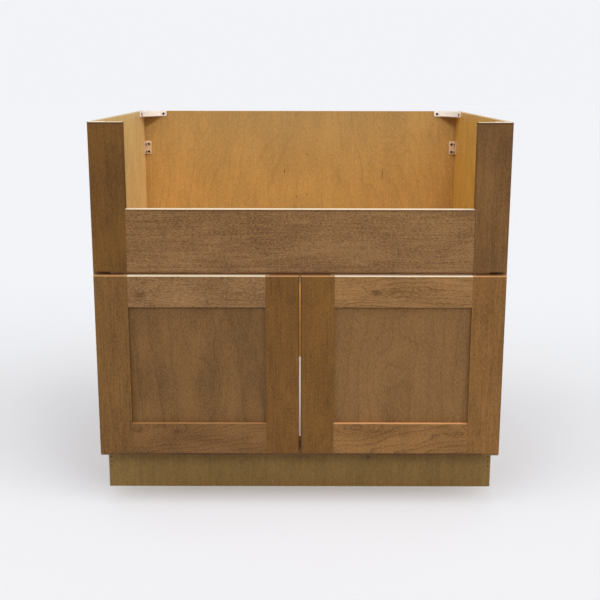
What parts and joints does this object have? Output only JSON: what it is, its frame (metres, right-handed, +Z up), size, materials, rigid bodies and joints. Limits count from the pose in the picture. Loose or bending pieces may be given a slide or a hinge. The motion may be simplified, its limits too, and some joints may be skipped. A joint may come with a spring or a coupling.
{
  "type": "sink base cabinet",
  "caption": "Floor-standing sink base cabinet with an open top, a notched front above a wide apron board for an apron-front sink, and hinged doors over storage.",
  "frame": {"origin": "on the floor, midway between the cabinet sides and midway between the door fronts and the back", "axes": "+Z up, doors face -Y, +X to the right seen from the front"},
  "size_m": [0.9144, 0.6312, 0.8763],
  "materials": {
    "stained_stile": "satin",
    "stained_rail": "satin",
    "stained_panel": "satin",
    "face_frame": "satin",
    "toe_kick": "matt",
    "plywood": "satin",
    "brace_plastic": "matt",
    "clip_plastic": "matt",
    "bumper": "soft",
    "nail": "dull",
    "dark_screw": "satin",
    "hinge_steel": "satin"
  },
  "bodies": {
    "cabinet": {"apron_panel": "stained_rail", "back_panel": "plywood", "brace_screws": "dark_screw", "clip_screws": "dark_screw", "floor_panel": "plywood", "frame_bottom_rail": "face_frame", "frame_left_stile": "face_frame", "frame_mid_rail": "face_frame", "frame_right_stile": "face_frame", "front_left_stile": "stained_stile", "front_right_stile": "stained_stile", "front_screws": "dark_screw", "hinge_arm_screws": "hinge_steel", "left_corner_brace": "brace_plastic", "left_lower_clip": "clip_plastic", "left_lower_hinge_arm": "hinge_steel", "left_side_panel": "plywood", "left_upper_clip": "clip_plastic", "left_upper_hinge_arm": "hinge_steel", "right_corner_brace": "brace_plastic", "right_lower_clip": "clip_plastic", "right_lower_hinge_arm": "hinge_steel", "right_side_panel": "plywood", "right_upper_clip": "clip_plastic", "right_upper_hinge_arm": "hinge_steel", "toe_kick_board": "toe_kick", "toe_kick_nails": "nail"},
    "left_door": {"left_door_bottom_rail": "stained_rail", "left_door_bumpers": "bumper", "left_door_inner_stile": "stained_stile", "left_door_outer_stile": "stained_stile", "left_door_panel": "stained_panel", "left_door_top_rail": "stained_rail", "left_hinge_cup_screws": "hinge_steel", "left_hinge_cups": "hinge_steel", "left_hinge_pins": "hinge_steel"},
    "right_door": {"right_door_bottom_rail": "stained_rail", "right_door_bumpers": "bumper", "right_door_inner_stile": "stained_stile", "right_door_outer_stile": "stained_stile", "right_door_panel": "stained_panel", "right_door_top_rail": "stained_rail", "right_hinge_cup_screws": "hinge_steel", "right_hinge_cups": "hinge_steel", "right_hinge_pins": "hinge_steel"}
  },
  "joints": [
    {"name": "left_door_hinge", "type": "hinge", "parent": "cabinet", "child": "left_door", "pos_m": [-0.4469, -0.30233, 0.335], "axis": [0, 0, -1], "range_deg": [0, 100]},
    {"name": "right_door_hinge", "type": "hinge", "parent": "cabinet", "child": "right_door", "pos_m": [0.4469, -0.30233, 0.335], "axis": [0, 0, 1], "range_deg": [0, 100]}
  ]
}
